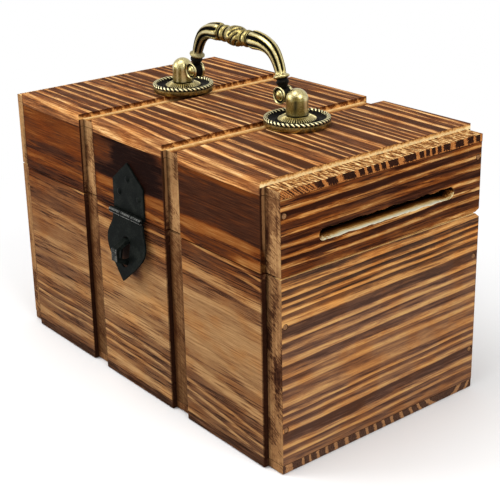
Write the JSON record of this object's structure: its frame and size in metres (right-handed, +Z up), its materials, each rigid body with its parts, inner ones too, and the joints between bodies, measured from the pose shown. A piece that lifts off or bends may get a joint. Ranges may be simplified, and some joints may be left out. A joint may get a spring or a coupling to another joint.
{
  "type": "wooden money box",
  "caption": "Wooden money box shaped like a small chest, with a hinged lid, a coin slot in one end, a swinging bail handle on top and a hasp and staple for a padlock.",
  "frame": {"origin": "middle of the flat underside of the bottom board", "axes": "+X along the length towards the end with the coin slot, -Y out of the front with the hasp, +Z up"},
  "size_m": [0.203, 0.1305, 0.1632],
  "materials": {
    "burnt_pine": "scorched and brushed pine, satin clear coat",
    "antique_brass": "antique brass plate, blackened in the recesses",
    "black_iron": "semi-matte black lacquer on iron sheet",
    "plain_steel": "plain bright steel, slightly dulled"
  },
  "bodies": {
    "base": {"bottom_board": "burnt_pine", "base_front_board": "burnt_pine", "base_back_board": "burnt_pine", "base_left_end_board": "burnt_pine", "base_right_end_board": "burnt_pine", "base_brad_left_front_upper": "plain_steel", "base_brad_left_back_upper": "plain_steel", "base_brad_right_front_upper": "plain_steel", "base_brad_right_back_upper": "plain_steel", "base_brad_left_front_lower": "plain_steel", "base_brad_left_back_lower": "plain_steel", "base_brad_right_front_lower": "plain_steel", "base_brad_right_back_lower": "plain_steel", "base_hinge_nail_left_inner": "plain_steel", "base_hinge_nail_left_outer": "plain_steel", "base_hinge_nail_right_inner": "plain_steel", "base_hinge_nail_right_outer": "plain_steel", "base_hinge_leaf_left": "plain_steel", "base_hinge_leaf_right": "plain_steel", "hinge_pin_left": "plain_steel", "hinge_pin_right": "plain_steel", "hasp_staple": "black_iron"},
    "lid": {"lid_top_board": "burnt_pine", "lid_front_board": "burnt_pine", "lid_back_board": "burnt_pine", "lid_left_end_board": "burnt_pine", "lid_right_end_board": "burnt_pine", "lid_brad_left_front": "plain_steel", "lid_brad_left_back": "plain_steel", "lid_brad_right_front": "plain_steel", "lid_brad_right_back": "plain_steel", "lid_hinge_nail_left_inner": "plain_steel", "lid_hinge_nail_left_outer": "plain_steel", "lid_hinge_nail_right_inner": "plain_steel", "lid_hinge_nail_right_outer": "plain_steel", "lid_hinge_leaf_left": "plain_steel", "lid_hinge_leaf_right": "plain_steel", "handle_rosette_left": "antique_brass", "handle_rosette_right": "antique_brass", "handle_post_left": "antique_brass", "handle_post_right": "antique_brass", "handle_screw_left": "plain_steel", "handle_screw_right": "plain_steel", "handle_washer_left": "plain_steel", "handle_washer_right": "plain_steel", "hasp_upper_leaf": "black_iron", "hasp_pin": "black_iron", "hasp_nail_top": "black_iron", "hasp_nail_left": "black_iron", "hasp_nail_right": "black_iron"},
    "bail": {"bail_handle": "antique_brass"},
    "hasp": {"hasp_lower_leaf": "black_iron"}
  },
  "joints": [
    {"name": "lid_hinge", "type": "hinge", "parent": "base", "child": "lid", "pos_m": [0, 0.0586, 0.0868], "axis": [-1, 0, 0], "range_deg": [0, 110]},
    {"name": "bail_swing", "type": "hinge", "parent": "lid", "child": "bail", "pos_m": [0, 0.0026, 0.137], "axis": [1, 0, 0], "range_deg": [-108, 108]},
    {"name": "hasp_swing", "type": "hinge", "parent": "lid", "child": "hasp", "pos_m": [0.0009, -0.062, 0.0868], "axis": [-1, 0, 0], "range_deg": [-8.4, 160]}
  ]
}
